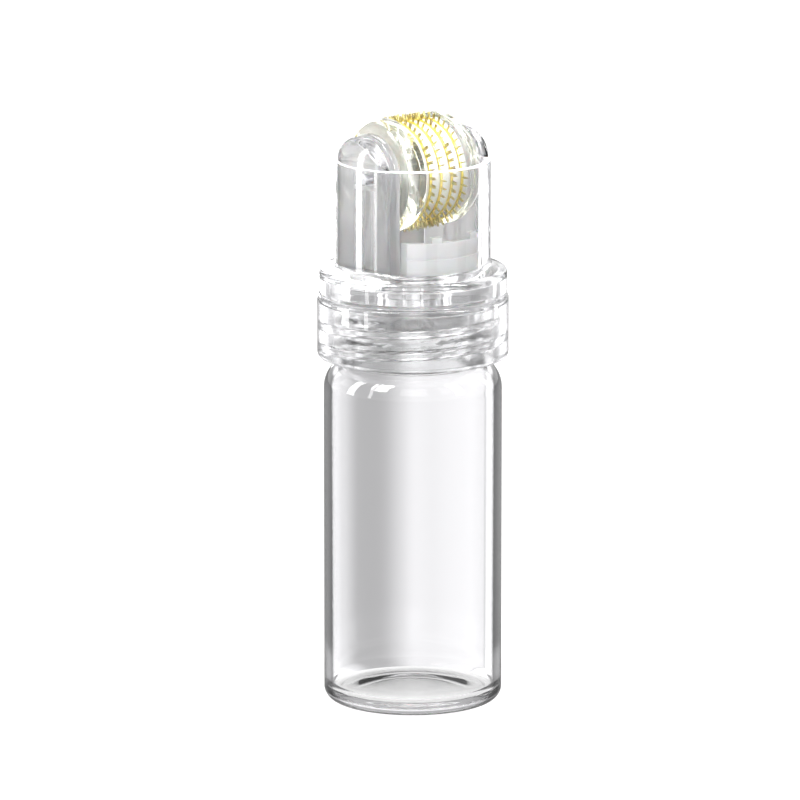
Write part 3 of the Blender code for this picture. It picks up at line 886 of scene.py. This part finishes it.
def make_strips():
    """Tall narrow cards round the object, which give its rounded sides their bright upright lines."""
    for n, (turned, width, glow) in enumerate(STRIPS, 1):
        away = direction(VIEW_AZIMUTH + turned, 0)
        side = Vector((-away.y, away.x, 0)) * width / 2
        bm = bmesh.new()
        bottom, top = (away * STRIP_R + Vector((0, 0, z)) for z in (STRIP_LOW_Z, STRIP_TOP_Z))
        bm.faces.new([bm.verts.new(p) for p in (bottom - side, bottom + side, top + side, top - side)])
        strip = object_of(f"strip_card_{n}", bm, smooth=0)
        made, _, light = glow_material(f"strip_glow_{n}")
        light.inputs["Strength"].default_value = glow
        strip.data.materials.append(made)
        hide_from(strip, "camera", "transmission", "diffuse", "shadow")


def make_world():
    """White at the horizon and grey overhead, so that clear pieces show dark and bright lines."""
    world = bpy.data.worlds.new("studio")
    bpy.context.scene.world = world
    world.use_nodes = True
    tree = world.node_tree
    where = tree.nodes.new("ShaderNodeTexCoord")
    split = tree.nodes.new("ShaderNodeSeparateXYZ")
    link(tree, where, "Generated", split, "Vector")
    sky = ramp(tree, split, "Z", ((0.0, 1.0), (0.16, 1.0), (0.3, 0.8), (0.75, 0.6), (1.0, 0.9)))
    link(tree, sky, "Color", tree.nodes["Background"], "Color")


def softbox(name, azimuth, elevation, distance, width, height, power):
    """A rectangular lamp that faces the object. Distance and size are in metres."""
    light = bpy.data.lights.new(name, "AREA")
    light.shape = "RECTANGLE"
    light.size, light.size_y = width, height
    light.energy = power
    obj = bpy.data.objects.new(name, light)
    bpy.context.scene.collection.objects.link(obj)
    away = direction(azimuth, elevation)
    obj.location = Vector((0, 0, AIM_HEIGHT)) + away * distance
    obj.rotation_mode = "QUATERNION"
    obj.rotation_quaternion = away.to_track_quat("Z", "Y")


def make_lights():
    softbox("key_box", VIEW_AZIMUTH - 50, 50, 0.9, 0.35, 0.7, 15)
    softbox("side_box", VIEW_AZIMUTH + 65, 35, 0.9, 0.2, 0.8, 10)
    softbox("back_box", VIEW_AZIMUTH + 180, 55, 1.0, 0.8, 0.4, 8)


def set_render_choices():
    scene = bpy.context.scene
    scene.view_settings.view_transform = "Standard"
    scene.view_settings.look = "None"
    scene.cycles.max_bounces = 32
    scene.cycles.transmission_bounces = 32
    scene.cycles.glossy_bounces = 32
    scene.cycles.diffuse_bounces = 4


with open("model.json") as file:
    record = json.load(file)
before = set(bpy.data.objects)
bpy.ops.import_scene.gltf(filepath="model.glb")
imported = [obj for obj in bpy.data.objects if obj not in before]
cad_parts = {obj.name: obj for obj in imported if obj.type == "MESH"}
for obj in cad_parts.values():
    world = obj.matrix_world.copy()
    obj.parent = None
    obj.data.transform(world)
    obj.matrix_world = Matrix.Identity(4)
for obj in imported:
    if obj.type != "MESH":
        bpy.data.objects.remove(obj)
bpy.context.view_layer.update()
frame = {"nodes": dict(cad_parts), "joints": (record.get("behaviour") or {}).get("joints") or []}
AXLE_Z = next(j for j in frame["joints"] if j["name"] == "drum_spin")["pos_m"][2] / MM
make_roller()
make_camera()
make_floor()
make_tent()
make_strips()
make_world()
make_lights()
set_render_choices()
